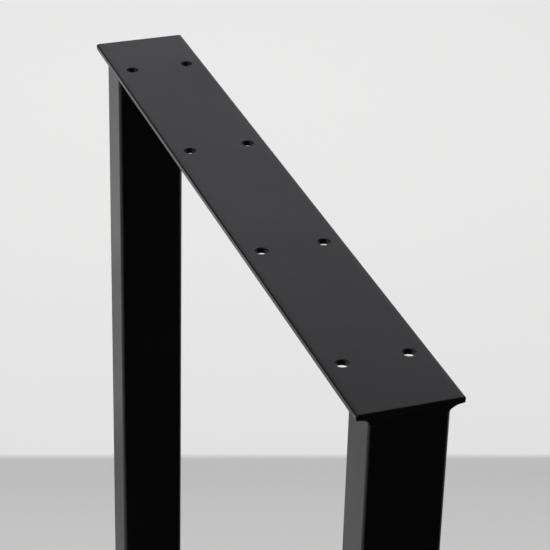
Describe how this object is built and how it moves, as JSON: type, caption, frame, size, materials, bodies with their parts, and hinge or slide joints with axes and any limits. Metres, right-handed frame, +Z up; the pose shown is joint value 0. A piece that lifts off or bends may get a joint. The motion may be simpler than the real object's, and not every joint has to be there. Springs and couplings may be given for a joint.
{
  "type": "table leg",
  "caption": "Closed rectangular steel frame leg for one end of a table, welded from rectangular tube under a flat mounting plate with screw holes, in matt black.",
  "frame": {"origin": "on the floor, under the centre of the frame", "axes": "+X along the mounting plate, +Y across the frame, +Z up towards the table top"},
  "size_m": [0.65, 0.08, 0.72],
  "materials": {
    "powder_coat": "matt black powder coat with a fine even texture",
    "glide_plastic": "moulded black plastic, slightly glossy"
  },
  "bodies": {
    "root": {"top_plate": "powder_coat", "upright_left": "powder_coat", "upright_right": "powder_coat", "bottom_rail": "powder_coat", "plate_weld_left": "powder_coat", "plate_weld_right": "powder_coat", "corner_weld_left": "powder_coat", "corner_weld_right": "powder_coat", "floor_glides": "glide_plastic"}
  },
  "joints": []
}
